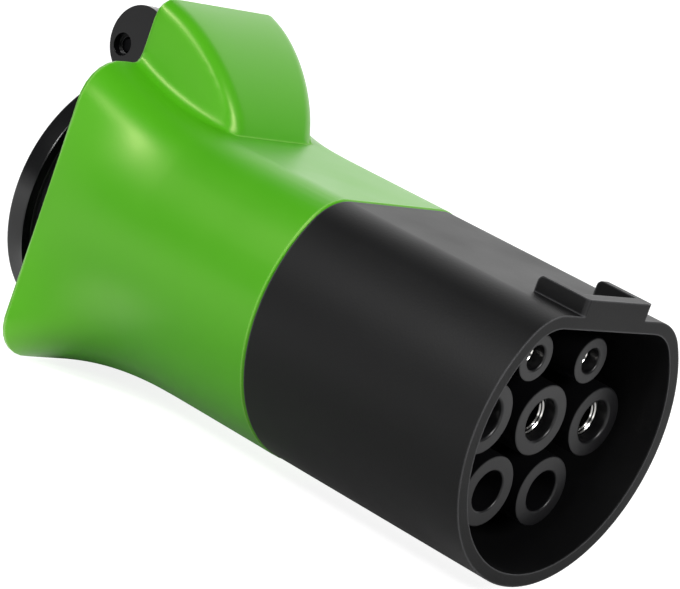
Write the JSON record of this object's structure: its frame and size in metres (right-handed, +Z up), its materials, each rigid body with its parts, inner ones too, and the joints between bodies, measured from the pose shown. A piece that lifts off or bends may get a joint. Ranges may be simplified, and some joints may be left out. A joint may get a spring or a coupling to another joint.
{
  "type": "vehicle to load adapter",
  "caption": "Vehicle-to-load adapter: round flat-topped vehicle connector, flared housing with a hinge hump, and a household socket under a sprung lid.",
  "frame": {"origin": "on the connector's axis, where the straight bore of the earth contact begins", "axes": "-Y out of the connector's mouth along its axis, +Y towards the lid, +Z up to the flat top, +X to the proximity contact's side"},
  "size_m": [0.059, 0.1173, 0.0717],
  "materials": {
    "shell_plastic": "moulded black, lightly textured",
    "carrier_plastic": "moulded black, smooth",
    "retainer_plastic": "moulded dark grey",
    "housing_plastic": "moulded green, fine satin",
    "frame_plastic": "moulded black, fine satin",
    "lid_plastic": "moulded black, fine satin",
    "clip_carrier_plastic": "moulded grey",
    "seal_rubber": "black, smooth",
    "silver_plate": "silver-plated copper alloy",
    "clip_brass": "bright rolled brass",
    "steel": "zinc-plated steel",
    "black_steel": "blackened steel",
    "spring_steel": "drawn stainless wire and strip",
    "wire_brown": "brown sleeve",
    "wire_blue": "blue sleeve",
    "wire_green_yellow": "green and yellow sleeve",
    "wire_white": "white sleeve",
    "resistor_sleeve": "blue shrink sleeve"
  },
  "bodies": {
    "adapter": {"connector_shell": "shell_plastic", "contact_carrier": "carrier_plastic", "contact_retainer": "retainer_plastic", "retainer_screws": "steel", "line_contact": "silver_plate", "neutral_contact": "silver_plate", "earth_contact": "silver_plate", "pilot_contact": "silver_plate", "proximity_contact": "silver_plate", "housing_seal": "seal_rubber", "rear_housing": "housing_plastic", "shell_screws": "steel", "frame_gasket": "seal_rubber", "socket_frame": "frame_plastic", "frame_screws": "steel", "clip_carrier": "clip_carrier_plastic", "carrier_screws": "steel", "earth_clip": "spring_steel", "line_clip": "clip_brass", "neutral_clip": "clip_brass", "terminal_screws": "steel", "hinge_pin": "black_steel", "line_wire": "wire_brown", "neutral_wire": "wire_blue", "earth_wire": "wire_green_yellow", "proximity_wire": "wire_white", "coding_resistor": "resistor_sleeve"},
    "lid": {"socket_lid": "lid_plastic", "lid_gasket": "seal_rubber", "lid_spring": "spring_steel"}
  },
  "joints": [
    {"name": "lid_hinge", "type": "hinge", "parent": "adapter", "child": "lid", "pos_m": [0, 0.1037, 0.0282], "axis": [1, 0, 0], "range_deg": [0, 110], "stiffness_Nm_per_rad": 0.02, "springref_deg": -57.3}
  ]
}
